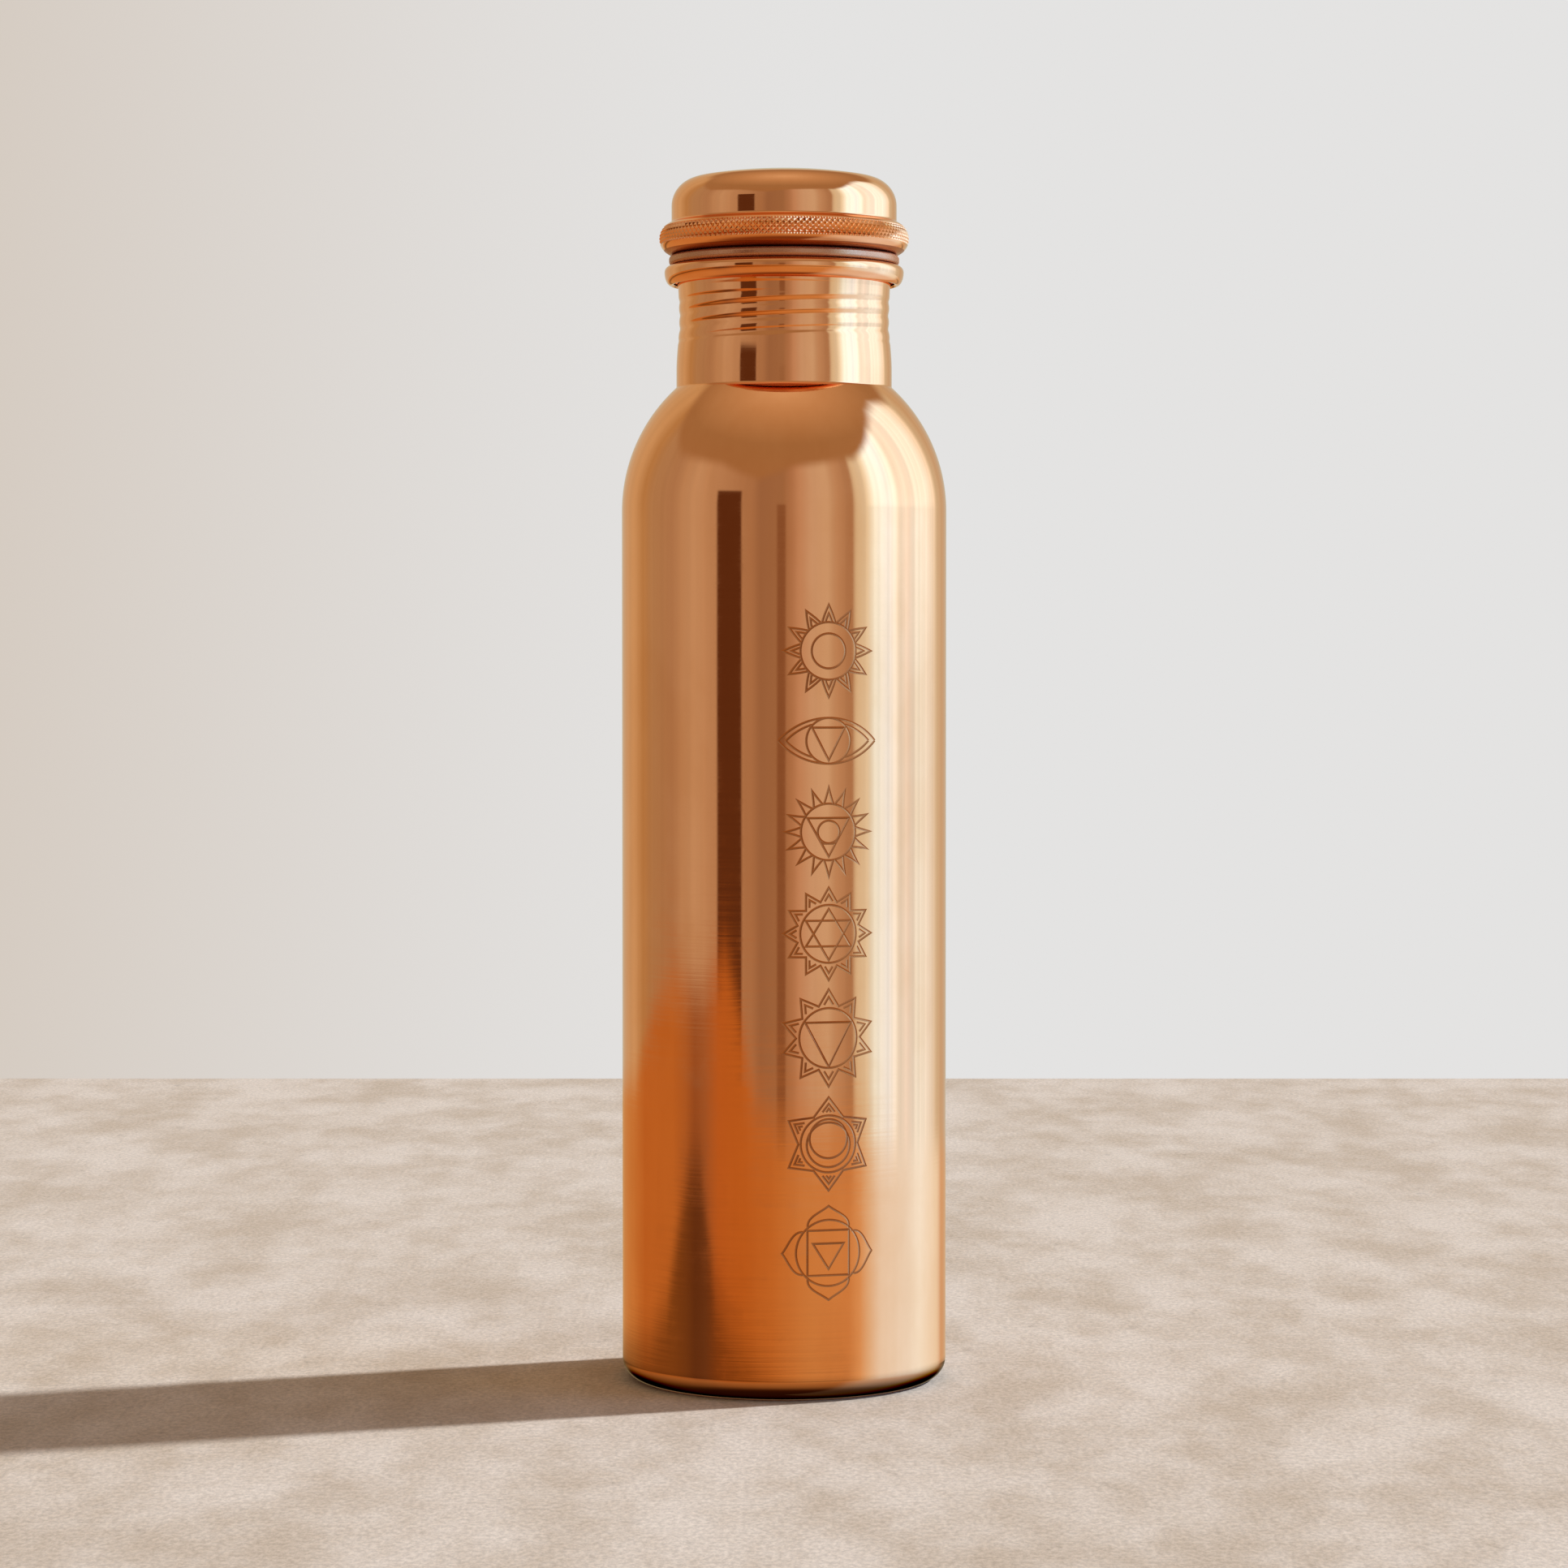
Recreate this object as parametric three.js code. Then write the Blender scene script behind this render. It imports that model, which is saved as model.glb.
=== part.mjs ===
// Copper water bottle: a spun shell with a pressed-in base, and a domed screw cap with a
// hollow threaded plug and a silicone sealing ring. Millimetres, +Z up. The origin is the
// centre of the foot, on the surface that the bottle stands on, and the front is -Y.
import * as THREE from "three";

// ---- Sheet and fits -------------------------------------------------------------------
const SHEET = 0.56; // copper sheet thickness
const ASSEMBLY_GAP = 0.25; // between two pressed or brazed sheets
const COLUMNS = 36; // facets round the axis

// ---- Shell ----------------------------------------------------------------------------
const BODY_RADIUS = 35.5;
const CORNER_RADIUS = 4.5; // rounds the side wall into the foot
const FOOT_INNER_RADIUS = 27.5; // the curled rim under the bottle ends here
const SHOULDER_HEIGHT = 190; // where the straight side ends
const SHOULDER_RADIUS = 36.5; // section radius of the domed shoulder
const NECK_RADIUS = 22.92; // at the waist of the neck
const NECK_WAIST_HEIGHT = 230.2;
const NECK_LOWER_SECTION = 100; // the neck's side is a long hollow arc below the waist...
const NECK_UPPER_SECTION = 38; // ...and a shorter one above it
const SHOULDER_FILLET = 1.5; // between the shoulder and the neck
const LIP_RADIUS = 26.15; // outermost radius of the lip, an oval bead rolled outwards
const LIP_HEIGHT = 241.5; // centre of the bead
const LIP_HALF_WIDTH = 1.5;
const LIP_HALF_HEIGHT = 2.05;
const LIP_EDGE_ANGLE = -110; // the sheet's edge ends here, tucked under the bead
const NECK_TOP = 238.6; // where the neck runs into the bead

// ---- Screw thread, rolled into the neck and the plug ------------------------------------
const PITCH = 3; // between neighbouring crests
const STARTS = 2; // right hand
const THREAD_DEPTH = 0.6; // inside the neck and on the plug
const NECK_GROOVE_DEPTH = 0.4; // what shows of it on the outside of the neck
const THREAD_CLEARANCE = 0.25;
const THREAD_REFERENCE_HEIGHT = 226; // a crest stands at this height...
const THREAD_REFERENCE_ANGLE = THREE.MathUtils.degToRad(209.6); // ...at this angle from +X
const THREAD_ROW = 0.6; // height of one row of facets
const THREAD_FADE = 1.5; // the thread runs out over this height
const NECK_THREAD = { low: 226, high: 237.2 };
const PLUG_THREAD = { low: 227.8, high: 240.2 };

// ---- Base -------------------------------------------------------------------------------
const BASE_SKIRT_TOP = 10;
const BASE_DISH_RADIUS = 24;
const BASE_DISH_RISE = 2.4; // the dish bows up into the bottle

// ---- Cap --------------------------------------------------------------------------------
const CAP_SIDE_RADIUS = 24.6;
const CAP_CORNER_RADIUS = 6.2;
const CAP_CORNER_HEIGHT = 256.55; // centre of the rounded upper edge
const CROWN_RADIUS = 110; // the top is a shallow dome
const BEAD_RADIUS = 27.3; // outermost radius of the grip bead
const BEAD_SECTION_RADIUS = 3.6;
const BEAD_HEIGHT = 249.45; // centre of the bead
const HEM_INNER_RADIUS = 22; // the bead is folded under the plug's flange to here
const PLUG_BOTTOM = 226;
const PLUG_CORNER_RADIUS = 2;
const PLUG_FLANGE_RADIUS = 24.6;
const GASKET_RADIUS = 25.5;
const GASKET_EDGE_RADIUS = 0.7;
const GASKET_GAP = 0.1; // above and below the sealing ring

// ---- Outlines -----------------------------------------------------------------------------
const point = (r, z) => new THREE.Vector2(r, z);

// Points of an oval about centre, from one angle to another in degrees, both ends included.
function oval(centre, width, height, from, to, steps) {
  const points = [];
  for (let i = 0; i <= steps; i++) {
    const angle = THREE.MathUtils.degToRad(from + ((to - from) * i) / steps);
    points.push(point(centre.x + width * Math.cos(angle), centre.y + height * Math.sin(angle)));
  }
  return points;
}

const arc = (centre, radius, from, to, steps) => oval(centre, radius, radius, from, to, steps);

// Direction from one point to another, in degrees.
const heading = (from, to) => THREE.MathUtils.radToDeg(Math.atan2(to.y - from.y, to.x - from.x));

// The point at the given distances from two centres, on the right of the line from a to b
// when side is 1, and on its left when side is -1.
function triangulate(a, fromA, b, fromB, side) {
  const along = b.clone().sub(a);
  const distance = along.length();
  along.normalize();
  const step = (fromA ** 2 - fromB ** 2 + distance ** 2) / (2 * distance);
  const offset = side * Math.sqrt(fromA ** 2 - step ** 2);
  return point(a.x + along.x * step + along.y * offset, a.y + along.y * step - along.x * offset);
}

// Heights from low to high in equal steps no longer than the step given.
function levels(low, high, step) {
  const count = Math.ceil((high - low) / step);
  return Array.from({ length: count + 1 }, (_, i) => low + ((high - low) * i) / count);
}

// ---- Thread ---------------------------------------------------------------------------------
// 1 in the middle of a zone, falling smoothly to 0 at both of its ends.
function strength(zone, height) {
  const rise = THREE.MathUtils.smoothstep(height, zone.low, zone.low + THREAD_FADE);
  const fall = THREE.MathUtils.smoothstep(height, zone.high - THREAD_FADE, zone.high);
  return rise * (1 - fall);
}

// 1 on a crest and 0 in a root, along right-hand helices about the axis.
function helix(x, y, height) {
  const turn = Math.atan2(y, x) - THREAD_REFERENCE_ANGLE;
  const phase = (2 * Math.PI * (height - THREAD_REFERENCE_HEIGHT)) / PITCH - STARTS * turn;
  return (1 + Math.cos(phase)) / 2;
}

// ---- Solids of revolution -----------------------------------------------------------------
// Turns a closed outline of radii and heights about +Z.
function turned(outline) {
  const geometry = new THREE.LatheGeometry(outline, COLUMNS);
  geometry.rotateX(Math.PI / 2);
  return geometry;
}

// Moves each point of a turned piece in or out by what shift(x, y, z, radius) gives.
function reshape(geometry, shift) {
  const position = geometry.getAttribute("position");
  for (let i = 0; i < position.count; i++) {
    const x = position.getX(i);
    const y = position.getY(i);
    const radius = Math.hypot(x, y);
    if (radius === 0) continue;
    const scale = 1 + shift(x, y, position.getZ(i), radius) / radius;
    position.setXY(i, x * scale, y * scale);
  }
  return geometry;
}

const copper = (colour, roughness) =>
  new THREE.MeshStandardMaterial({ color: colour, roughness, metalness: 1 });

function piece(name, geometry, material) {
  const mesh = new THREE.Mesh(geometry, material);
  mesh.name = name;
  return mesh;
}

// ---- Shell of the bottle ----------------------------------------------------------------------
const neckCentre = point(NECK_RADIUS + NECK_LOWER_SECTION, NECK_WAIST_HEIGHT);
const shoulderCentre = point(BODY_RADIUS - SHOULDER_RADIUS, SHOULDER_HEIGHT);
const cornerCentre = point(BODY_RADIUS - CORNER_RADIUS, CORNER_RADIUS);
const lipCentre = point(LIP_RADIUS - LIP_HALF_WIDTH, LIP_HEIGHT);
const filletCentre = triangulate(
  shoulderCentre,
  SHOULDER_RADIUS + SHOULDER_FILLET,
  neckCentre,
  NECK_LOWER_SECTION - SHOULDER_FILLET,
  -1,
);

// Radius of the neck's side at a height, at a depth under its outer face.
function neckRadius(height, depth) {
  const section = height < NECK_WAIST_HEIGHT ? NECK_LOWER_SECTION : NECK_UPPER_SECTION;
  const rise = height - NECK_WAIST_HEIGHT;
  return NECK_RADIUS + section - Math.sqrt((section + depth) ** 2 - rise ** 2);
}

// The neck's side from the fillet up to the lip, with close rows where the thread is.
function neckSide(low, depth) {
  const heights = [
    (low + NECK_THREAD.low) / 2,
    ...levels(NECK_THREAD.low, NECK_THREAD.high, THREAD_ROW),
    NECK_TOP,
  ];
  return heights.map((height) => point(neckRadius(height, depth), height));
}

// One face of the sheet, from the foot to the edge that is tucked under the lip. The outer
// face has depth 0 and the inner face the sheet's thickness, which the lip turns outwards.
function shellFace(depth) {
  const shoulderMeets = heading(shoulderCentre, filletCentre);
  const neckMeets = heading(neckCentre, filletCentre);
  const fillet = arc(
    filletCentre,
    SHOULDER_FILLET + depth,
    shoulderMeets + 180,
    neckMeets < 0 ? neckMeets + 360 : neckMeets,
    3,
  );
  const inset = SHEET - depth;
  return [
    point(FOOT_INNER_RADIUS, depth),
    ...arc(cornerCentre, CORNER_RADIUS - depth, -90, 0, 5),
    point(BODY_RADIUS - depth, SHOULDER_HEIGHT / 2),
    ...arc(shoulderCentre, SHOULDER_RADIUS - depth, 0, shoulderMeets, 8),
    ...fillet.slice(1),
    ...neckSide(fillet.at(-1).y, depth),
    ...oval(lipCentre, LIP_HALF_WIDTH - inset, LIP_HALF_HEIGHT - inset, 180, LIP_EDGE_ANGLE, 12),
  ];
}

function shellGeometry() {
  const outer = shellFace(0);
  const outline = [...outer, ...shellFace(SHEET).reverse(), outer[0].clone()];
  return reshape(turned(outline), (x, y, z, radius) => {
    const depth = radius > neckRadius(z, SHEET / 2) ? NECK_GROOVE_DEPTH : THREAD_DEPTH;
    return -depth * strength(NECK_THREAD, z) * (1 - helix(x, y, z));
  });
}

// ---- Base: a shallow cup brazed inside the shell, over the curled rim ------------------------
function baseFace(depth) {
  const radius = CORNER_RADIUS - SHEET - ASSEMBLY_GAP - depth;
  const skirt = cornerCentre.x + radius;
  const floor = cornerCentre.y - radius;
  const dish = (BASE_DISH_RADIUS ** 2 + BASE_DISH_RISE ** 2) / (2 * BASE_DISH_RISE);
  const edge = THREE.MathUtils.radToDeg(Math.asin(BASE_DISH_RADIUS / dish));
  const dishCentre = point(0, floor + BASE_DISH_RISE - dish);
  const cap = arc(dishCentre, dish, 90, 90 - edge, 4);
  cap[0].x = 0;
  return [...cap, ...arc(cornerCentre, radius, -90, 0, 5), point(skirt, BASE_SKIRT_TOP)];
}

const baseGeometry = () => turned([...baseFace(0), ...baseFace(SHEET).reverse()]);

// ---- Cap dome: crown, side and a hollow grip bead folded under at the hem ---------------------
const beadCentre = point(BEAD_RADIUS - BEAD_SECTION_RADIUS, BEAD_HEIGHT);
const capCorner = point(CAP_SIDE_RADIUS - CAP_CORNER_RADIUS, CAP_CORNER_HEIGHT);
const CROWN_TILT = THREE.MathUtils.radToDeg(
  Math.asin(capCorner.x / (CROWN_RADIUS - CAP_CORNER_RADIUS)),
);
const crownCentre = point(
  0,
  capCorner.y -
    (CROWN_RADIUS - CAP_CORNER_RADIUS) * Math.cos(THREE.MathUtils.degToRad(CROWN_TILT)),
);
const hemHeight = BEAD_HEIGHT - BEAD_SECTION_RADIUS; // underside of the cap's hem

function domeFace(depth) {
  const side = CAP_SIDE_RADIUS - depth;
  const section = BEAD_SECTION_RADIUS - depth;
  const meets = THREE.MathUtils.radToDeg(Math.acos((side - beadCentre.x) / section));
  const crown = arc(crownCentre, CROWN_RADIUS - depth, 90, 90 - CROWN_TILT, 4);
  crown[0].x = 0;
  return [
    ...crown,
    ...arc(capCorner, CAP_CORNER_RADIUS - depth, 90 - CROWN_TILT, 0, 5).slice(1),
    ...arc(beadCentre, section, meets, -90, 9),
    point(HEM_INNER_RADIUS, hemHeight + depth),
  ];
}

const domeGeometry = () => turned([...domeFace(0), ...domeFace(SHEET).reverse()].reverse());

// ---- Plug: a drawn cup with the male thread, gripped by its flange in the dome's hem ----------
const plugRadius = NECK_RADIUS - SHEET - THREAD_DEPTH - THREAD_CLEARANCE; // thread root
const flangeHeight = hemHeight + SHEET + ASSEMBLY_GAP;

function plugGeometry() {
  const inner = plugRadius - SHEET;
  const outerCorner = point(plugRadius - PLUG_CORNER_RADIUS, PLUG_BOTTOM + PLUG_CORNER_RADIUS);
  const outline = [
    point(0, PLUG_BOTTOM),
    ...arc(outerCorner, PLUG_CORNER_RADIUS, -90, 0, 4),
    ...levels(PLUG_THREAD.low, PLUG_THREAD.high, THREAD_ROW)
      .filter((height) => height > outerCorner.y)
      .map((height) => point(plugRadius, height)),
    point(plugRadius, flangeHeight),
    point(PLUG_FLANGE_RADIUS, flangeHeight),
    point(PLUG_FLANGE_RADIUS, flangeHeight + SHEET),
    point(inner, flangeHeight + SHEET),
    ...arc(outerCorner, PLUG_CORNER_RADIUS - SHEET, 0, -90, 3),
    point(0, PLUG_BOTTOM + SHEET),
  ];
  return reshape(turned(outline), (x, y, z, radius) => {
    const onThread = radius > plugRadius - SHEET / 2 && radius < PLUG_FLANGE_RADIUS - SHEET;
    return onThread ? THREAD_DEPTH * strength(PLUG_THREAD, z) * helix(x, y, z) : 0;
  });
}

// ---- Sealing ring: sits round the plug, between the lip and the cap's hem ---------------------
function gasketGeometry() {
  const low = LIP_HEIGHT + LIP_HALF_HEIGHT + GASKET_GAP;
  const high = hemHeight - GASKET_GAP;
  const inner = plugRadius + ASSEMBLY_GAP;
  const edge = GASKET_RADIUS - GASKET_EDGE_RADIUS;
  return turned([
    point(inner, low),
    ...arc(point(edge, low + GASKET_EDGE_RADIUS), GASKET_EDGE_RADIUS, -90, 0, 3),
    ...arc(point(edge, high - GASKET_EDGE_RADIUS), GASKET_EDGE_RADIUS, 0, 90, 3),
    point(inner, high),
    point(inner, low),
  ]);
}

// ---- Assembly ---------------------------------------------------------------------------------
const bottle = new THREE.Group();
bottle.add(
  piece("bottle_body", shellGeometry(), copper(0xd98a5c, 0.12)),
  piece("base_cup", baseGeometry(), copper(0xc97b50, 0.3)),
);

const silicone = new THREE.MeshStandardMaterial({ color: 0xd9cfcb, roughness: 0.45, metalness: 0 });
const cap = new THREE.Group();
cap.add(
  piece("cap_dome", domeGeometry(), copper(0xd98a5c, 0.12)),
  piece("cap_plug", plugGeometry(), copper(0xcf8055, 0.25)),
  piece("cap_gasket", gasketGeometry(), silicone),
);

const copperBottle = new THREE.Group();
copperBottle.add(bottle, cap);

export default copperBottle;
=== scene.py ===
"""Copper water bottle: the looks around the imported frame. Metres, +Z up, the front is -Y."""

import math
from types import SimpleNamespace

import bpy
import numpy as np
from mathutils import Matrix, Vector
from mathutils.geometry import delaunay_2d_cdt


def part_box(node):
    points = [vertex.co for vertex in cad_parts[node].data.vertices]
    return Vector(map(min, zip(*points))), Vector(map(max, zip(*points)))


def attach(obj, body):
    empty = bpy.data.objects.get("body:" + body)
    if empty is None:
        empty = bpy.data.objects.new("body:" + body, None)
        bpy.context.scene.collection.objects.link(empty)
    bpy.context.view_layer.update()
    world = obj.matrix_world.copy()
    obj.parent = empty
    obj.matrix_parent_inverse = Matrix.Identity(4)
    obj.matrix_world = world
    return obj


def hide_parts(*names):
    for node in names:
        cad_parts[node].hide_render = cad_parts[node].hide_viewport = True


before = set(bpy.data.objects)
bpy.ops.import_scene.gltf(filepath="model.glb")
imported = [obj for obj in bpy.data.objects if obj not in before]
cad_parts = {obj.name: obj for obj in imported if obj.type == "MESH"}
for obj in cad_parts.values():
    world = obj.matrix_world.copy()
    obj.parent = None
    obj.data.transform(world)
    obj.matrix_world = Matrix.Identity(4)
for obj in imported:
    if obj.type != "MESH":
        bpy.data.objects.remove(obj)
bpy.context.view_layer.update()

# ---- Dimensions: the frame's boxes, and the sheet metal's own details ---------------------------
MM = 0.001
TURN = 2 * math.pi
TOUCH = 1e-7  # metres within which two points are one
NOTHING = 1e-9

_, body_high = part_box("bottle_body")
_, base_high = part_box("base_cup")
dome_low, dome_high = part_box("cap_dome")
plug_low, plug_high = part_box("cap_plug")
ring_low, ring_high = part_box("cap_gasket")

SHEET = 0.56 * MM
BODY_RADIUS = body_high.x
CORNER = 4.5 * MM
FOOT_INNER = 27.5 * MM
SATIN_RIM_TOP = 0.15 * MM  # height up to which the foot's rim is satin copper, outside the painted contact shade of the foot
SHOULDER = 190 * MM
SHOULDER_SECTION = 36.5 * MM
SHOULDER_FILLET = 0.5 * MM
NECK_LOW_RADIUS = 23.54 * MM
NECK_WAIST_RADIUS = 22.92 * MM
NECK_WAIST = 230.5 * MM
NECK_STEP = 220.5 * MM
NECK_UPPER_SECTION = 140 * MM
NECK_TOP = 238.6 * MM
LIP_RADIUS = 26.15 * MM
LIP_WIDTH = 1.5 * MM
LIP_CENTRE = body_high.z - 1.4 * MM
LIP_RISE = body_high.z - LIP_CENTRE
LIP_DROP = 2.85 * MM
LIP_CURL = -110  # the angle, in degrees, at which the lip's edge ends
STEP_CURVE = 0.7  # how sharply the neck narrows above the shoulder

PITCH = 3 * MM
STARTS = 2
THREAD_FADE = 1.5 * MM
THREAD_HEIGHT = 226 * MM
THREAD_ANGLE = math.radians(209.6)
NECK_THREAD = (226 * MM, 237.2 * MM)
PLUG_THREAD = (227.8 * MM, 240.2 * MM)
NECK_GROOVE = 0.17 * MM
GROOVE_CURVE = 1.5  # above 1, the grooves outside the neck are narrower than the crests
THREAD_DEPTH = 0.6 * MM

COLUMNS = 240
NECK_ROWS = 42
PLUG_ROWS = 64
BASE_COLUMNS = 120
RING_COLUMNS = 160
FRONT = math.radians(-90)


# ---- Outlines: points of radius, height and the surface normal's angle -----------------------------
def oval(r, z, width, height, start, end, steps):
    """Points of an oval, from one angle to another in degrees, with the outward normal."""
    points = []
    for i in range(steps + 1):
        a = math.radians(start + (end - start) * i / steps)
        normal = math.atan2(math.sin(a) / height, math.cos(a) / width)
        points.append((r + width * math.cos(a), z + height * math.sin(a), normal))
    return points


def arc(r, z, radius, start, end, steps):
    """Points of a circle's arc, as oval gives them."""
    return oval(r, z, radius, radius, start, end, steps)


def hollow(points):
    """The same points with their normals turned to the other side."""
    return [(r, z, None if a is None else a + math.pi) for r, z, a in points]


def straight(start, end, steps):
    """Points of a straight line, with the normal on its right."""
    normal = math.atan2(end[1] - start[1], end[0] - start[0]) - math.pi / 2
    return [
        (start[0] + (end[0] - start[0]) * i / steps, start[1] + (end[1] - start[1]) * i / steps, normal)
        for i in range(steps + 1)
    ]


def joined(*runs):
    """Runs of points in one list, without the points that repeat."""
    points = []
    for run in runs:
        for p in run:
            if points and math.dist(p[:2], points[-1][:2]) < TOUCH:
                continue
            points.append(p)
    return points


def turned(outline, columns, shift=None, left_out=None):
    """A closed outline turned about +Z. shift(angle, r, z) moves a point in or out, and the
    quads for which left_out(column, row) is true are left to the caller. Returns the vertices,
    their normals, the faces, the row that each face starts from, and the rows of vertices."""
    verts, normals, rows = [], [], []
    for r, z, a in outline:
        if r < NOTHING:
            rows.append([len(verts)] * columns)
            verts.append((0, 0, z))
            normals.append((0, 0, math.copysign(1, math.sin(a))))
            continue
        row = []
        for c in range(columns):
            angle = TURN * c / columns
            moved = shift(angle, r, z) if shift else 0
            plain = abs(moved) < NOTHING and a is not None
            row.append(len(verts))
            verts.append(((r + moved) * math.cos(angle), (r + moved) * math.sin(angle), z))
            flat = math.cos(a) if plain else 0
            normals.append((flat * math.cos(angle), flat * math.sin(angle), math.sin(a) if plain else 0))
        rows.append(row)
    faces, bands = [], []
    for i in range(len(rows)):
        low, high = rows[i], rows[(i + 1) % len(rows)]
        for c in range(columns):
            d = (c + 1) % columns
            if left_out and left_out(c, i):
                continue
            corners = [low[c], low[d], high[d], high[c]]
            corners = [v for k, v in enumerate(corners) if v != corners[k - 1]]
            if len(corners) > 2:
                faces.append(corners)
                bands.append(i)
    return verts, normals, faces, bands, rows


def mesh_piece(name, verts, faces, normals, materials, looks=(), flat_faces=()):
    """A piece from mesh data. normals holds one normal a vertex; zero leaves it to the shading.
    looks holds each face's material, and where it is empty the first is everywhere."""
    mesh = bpy.data.meshes.new(name)
    mesh.from_pydata(verts, [], faces)
    for m in materials:
        mesh.materials.append(m)
    mesh.polygons.foreach_set("use_smooth", [True] * len(faces))
    if looks:
        places = {m.name: i for i, m in enumerate(materials)}
        mesh.polygons.foreach_set("material_index", [places[m.name] for m in looks])
    flat = set(flat_faces)
    loops = []
    for p in mesh.polygons:
        own = tuple(p.normal)
        for v in p.vertices:
            loops.append(own if p.index in flat else normals[v])
    mesh.normals_split_custom_set(loops)
    mesh.validate()
    obj = bpy.data.objects.new(name, mesh)
    bpy.context.scene.collection.objects.link(obj)
    return obj


# ---- Thread ----------------------------------------------------------------------------------------
def smooth(x):
    """0 to 1 as x goes from 0 to 1, starting and ending gently."""
    x = min(max(x, 0), 1)
    return x * x * (3 - 2 * x)


def strength(zone, z):
    """1 in the middle of a zone of heights, falling to 0 at both of its ends."""
    return smooth((z - zone[0]) / THREAD_FADE) * smooth((zone[1] - z) / THREAD_FADE)


def helix(angle, z):
    """1 on a crest and 0 in a root of the right-hand thread."""
    phase = TURN * (z - THREAD_HEIGHT) / PITCH - STARTS * (angle - THREAD_ANGLE)
    return (1 + math.cos(phase)) / 2


# ---- Emblems: strokes in millimetres about each emblem's centre, across and up ------------------------
def circle(radius, x=0, y=0, steps=56):
    return [
        (x + radius * math.cos(TURN * i / steps), y + radius * math.sin(TURN * i / steps))
        for i in range(steps)
    ] + [(x + radius, y)]


def closed(points):
    return points + [points[0]]


def spun(points, angle):
    """Points turned clockwise from the top."""
    c, s = math.cos(angle), math.sin(angle)
    return [(x * c + y * s, y * c - x * s) for x, y in points]


def petals(count, base, tip, half_width, bow=0.0, inner=0, steps=3):
    """Pointed petals round a ring. inner is the size of a smaller one inside each; 0 leaves it out."""
    strokes = []
    for k in range(count):
        for size in (1, inner):
            if not size:
                continue
            side = []
            for i in range(steps + 1):
                t = i / steps
                wide = half_width * size * ((1 - t) + bow * math.sin(math.pi * t))
                side.append((wide, base + (tip - base) * size * t))
            outline = [(-x, y) for x, y in side] + side[-2::-1]
            strokes.append(spun(outline, TURN * k / count))
    return strokes


def triangle(half_width, top, apex):
    return closed([(-half_width, top), (half_width, top), (0, apex)])


def almond(half_width, half_height, hide=0.0, steps=14):
    """The two lids of an eye. The parts nearer the middle than hide are left out."""
    radius = (half_width**2 + half_height**2) / (2 * half_height)
    reach = math.asin(half_width / radius)
    strokes = []
    for sign in (1, -1):
        lid = []
        for i in range(2 * steps + 1):
            a = reach * (i / steps - 1)
            lid.append((radius * math.sin(a), sign * (radius * math.cos(a) - radius + half_height)))
        if hide:
            strokes.append([p for p in lid if p[0] <= -hide])
            strokes.append([p for p in lid if p[0] >= hide])
        else:
            strokes.append(lid)
    return strokes


def curve(a, b, c, d, steps=10):
    """Points of a cubic curve with two ends and two handles."""
    points = []
    for i in range(steps + 1):
        t = i / steps
        w = ((1 - t) ** 3, 3 * t * (1 - t) ** 2, 3 * t * t * (1 - t), t**3)
        points.append(tuple(w[0] * a[k] + w[1] * b[k] + w[2] * c[k] + w[3] * d[k] for k in (0, 1)))
    return points


def lotus_petals(count):
    """Broad petals with an ogee tip."""
    half = curve((4.5, 5.2), (5.1, 7.7), (1.9, 8.5), (0, 10.0))
    outline = [(-x, y) for x, y in half] + half[-2::-1]
    return [spun(outline, TURN * k / count) for k in range(count)]


def star(count, valley, tip):
    """The outline of a star, with its valleys and its tips at two radii."""
    points = []
    for k in range(count):
        points += spun([(0, tip)], TURN * k / count) + spun([(0, valley)], TURN * (k + 0.5) / count)
    return closed(points)


# Height of each emblem's centre in millimetres, then its strokes.
EMBLEMS = [
    (159.5, petals(12, 6.1, 9.75, 1.45, bow=0.06, inner=0.5) + [circle(6.1), circle(3.7)]),
    (140.5, almond(10.8, 4.85) + almond(9.2, 3.95, hide=3.3) + [circle(4.85), triangle(3.6, 2.8, -4.1)]),
    (121.2, petals(16, 6.0, 9.6, 1.0, bow=-0.08)
        + [circle(6.0), triangle(4.6, 2.95, -5.2), circle(2.4, steps=36), [(-1.6, -2.45), (1.6, -2.45)]]),
    (99.6, petals(12, 6.9, 8.3, 0.85)
        + [star(12, 6.95, 9.8), circle(6.15), triangle(4.95, 2.8, -5.55), triangle(4.95, -2.65, 5.3)]),
    (77.5, petals(10, 7.05, 8.7, 1.0)
        + [star(10, 7.05, 10.3), circle(6.35), triangle(5.05, 3.3, -6.1)]),
    (55.0, petals(6, 6.75, 8.5, 1.35, inner=0.4)
        + [star(6, 6.55, 9.9), circle(6.05), circle(4.75, 0, -0.2), circle(4.15, 0, 1.1)]),
    (31.8, lotus_petals(4) + [circle(7.05), triangle(3.4, 2.0, -3.4)]
        + [closed([(-4.6, -4.8), (4.6, -4.8), (4.6, 4.8), (-4.6, 4.8)])]),
]
STROKE = 0.25 * MM  # half the width of an engraved line
STROKE_DEPTH = 0.06 * MM
MITRE_LIMIT = 2.6
MITRE_LEAST = 1e-6  # length below which a mitre has no direction
WELD = 1e-5  # millimetres within which the flat layout's points are one
PANEL_COLUMNS = 13  # columns of the shell on each side of the front that the emblems take
PANEL_LOW = 18 * MM
PANEL_HIGH = 173 * MM
PANEL_ROW = 2.5 * MM
COLUMN_NEAR = 1e-4  # columns, and metres, from the panel's grid within which a point is on it
ROW_NEAR = 1e-8


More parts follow.
